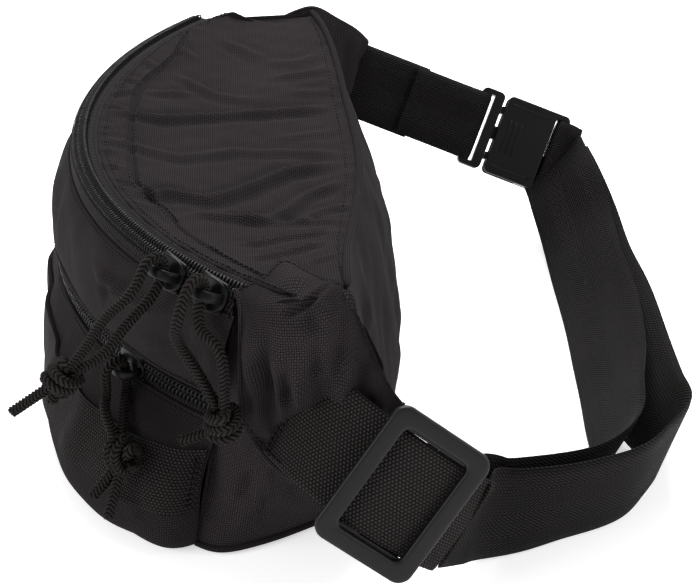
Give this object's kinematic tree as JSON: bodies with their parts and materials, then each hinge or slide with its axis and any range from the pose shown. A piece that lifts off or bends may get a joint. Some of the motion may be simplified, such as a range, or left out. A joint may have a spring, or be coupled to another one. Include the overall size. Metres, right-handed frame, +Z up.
{
  "type": "waist pack",
  "caption": "Dark charcoal fabric waist pack with curved zips, knotted cord pulls, a front lash band, side wings and a webbing belt closed by a side-release buckle and a tri-glide.",
  "frame": {"origin": "centre of the whole object's box in X and Y (cord pulls left out), on the surface it stands on", "axes": "+X along the pack towards the adjuster end, -Y out of the pack's front, +Y towards the wearer and the belt loop, +Z up"},
  "size_m": [0.3562, 0.2892, 0.125],
  "materials": {
    "pack_fabric": "matte woven polyester",
    "lining": "plain lining",
    "zipper_tape": "woven tape with a coil chain",
    "ribbed_webbing": "coarse ribbed webbing",
    "belt_webbing": "fine twill webbing",
    "matte_plastic": "fine matte moulded",
    "buckle_plastic": "satin moulded",
    "slider_metal": "gloss black",
    "cord": "braided"
  },
  "bodies": {
    "pack": {"back_panel": "pack_fabric", "bottom_panel": "pack_fabric", "front_panel_upper": "pack_fabric", "pocket_panel": "pack_fabric", "divider_lining": "lining", "side_panel_near": "pack_fabric", "side_panel_far": "pack_fabric", "top_panel_rear": "pack_fabric", "main_zipper_tape_inner_near": "zipper_tape", "main_zipper_tape_inner_far": "zipper_tape", "main_zipper_tape_outer": "zipper_tape", "pocket_zipper_tape_upper": "zipper_tape", "pocket_zipper_tape_lower": "zipper_tape", "front_webbing_band": "ribbed_webbing", "wing_near": "pack_fabric", "wing_far": "pack_fabric", "wing_webbing_near": "ribbed_webbing", "belt_inner_strap": "belt_webbing", "belt_outer_strap": "belt_webbing", "buckle_female": "buckle_plastic", "far_strap": "belt_webbing"},
    "lid": {"lid_panel": "pack_fabric", "lid_zipper_tape": "zipper_tape"},
    "slider_main_a": {"main_slider_a": "slider_metal"},
    "slider_main_b": {"main_slider_b": "slider_metal"},
    "slider_pocket": {"pocket_slider": "slider_metal"},
    "pull_a": {"pull_cord_a": "cord", "pull_knot_a": "cord"},
    "pull_b": {"pull_cord_b": "cord", "pull_knot_b": "cord"},
    "pull_c": {"pull_cord_c": "cord", "pull_knot_c": "cord"},
    "adjuster": {"tri_glide": "matte_plastic", "belt_end_loop": "ribbed_webbing"},
    "male_half": {"buckle_male": "buckle_plastic", "male_strap_loop": "belt_webbing"},
    "prong_upper": {"buckle_prong_upper": "buckle_plastic"},
    "prong_lower": {"buckle_prong_lower": "buckle_plastic"}
  },
  "joints": [
    {"name": "lid_fold", "type": "hinge", "parent": "pack", "child": "lid", "pos_m": [-0.00864, -0.07181, 0.1179], "axis": [-0.9996, 0, 0.029], "range_deg": [0, 60]},
    {"name": "main_slide_a", "type": "hinge", "parent": "pack", "child": "slider_main_a", "pos_m": [-0.01714, 0.07419, 0.11965], "axis": [0.029, 0, 0.9996], "range_deg": [-79, 0]},
    {"name": "main_slide_b", "type": "hinge", "parent": "pack", "child": "slider_main_b", "pos_m": [-0.01714, 0.07419, 0.11965], "axis": [0.029, 0, 0.9996], "range_deg": [-1.5, 0.4]},
    {"name": "pocket_slide", "type": "hinge", "parent": "pack", "child": "slider_pocket", "pos_m": [-0.02514, 0.03939, 0.06892], "axis": [0.0797, 0, 0.9968], "range_deg": [-79, 12]},
    {"name": "pull_swing_a", "type": "hinge", "parent": "slider_main_a", "child": "pull_a", "pos_m": [0.11645, -0.08502, 0.11762], "axis": [-0.7657, -0.6428, 0.0222], "range_deg": [0, 140]},
    {"name": "pull_swing_b", "type": "hinge", "parent": "slider_main_b", "child": "pull_b", "pos_m": [0.13261, -0.06992, 0.11715], "axis": [-0.6931, -0.7206, 0.0201], "range_deg": [0, 140]},
    {"name": "pull_swing_c", "type": "hinge", "parent": "slider_pocket", "child": "pull_c", "pos_m": [0.09104, -0.10454, 0.05963], "axis": [-0.7747, -0.6293, 0.062], "range_deg": [0, 80]},
    {"name": "adjuster_slide", "type": "hinge", "parent": "pack", "child": "adjuster", "pos_m": [0.11814, -0.00346, 0.03715], "axis": [0.2613, -0.603, -0.7537], "range_deg": [-12, 12]},
    {"name": "buckle_release", "type": "slide", "parent": "pack", "child": "male_half", "axis": [-0.2109, -0.9198, 0.3309], "range_m": [0, 0.026]},
    {"name": "prong_squeeze_upper", "type": "hinge", "parent": "male_half", "child": "prong_upper", "pos_m": [-0.15609, 0.09028, 0.0629], "axis": [-0.8821, 0.0333, -0.4699], "range_deg": [0, 6], "stiffness_Nm_per_rad": 0.4},
    {"name": "prong_squeeze_lower", "type": "hinge", "parent": "male_half", "child": "prong_lower", "pos_m": [-0.14497, 0.07996, 0.0413], "axis": [0.8821, -0.0333, 0.4699], "range_deg": [0, 6], "stiffness_Nm_per_rad": 0.4}
  ]
}
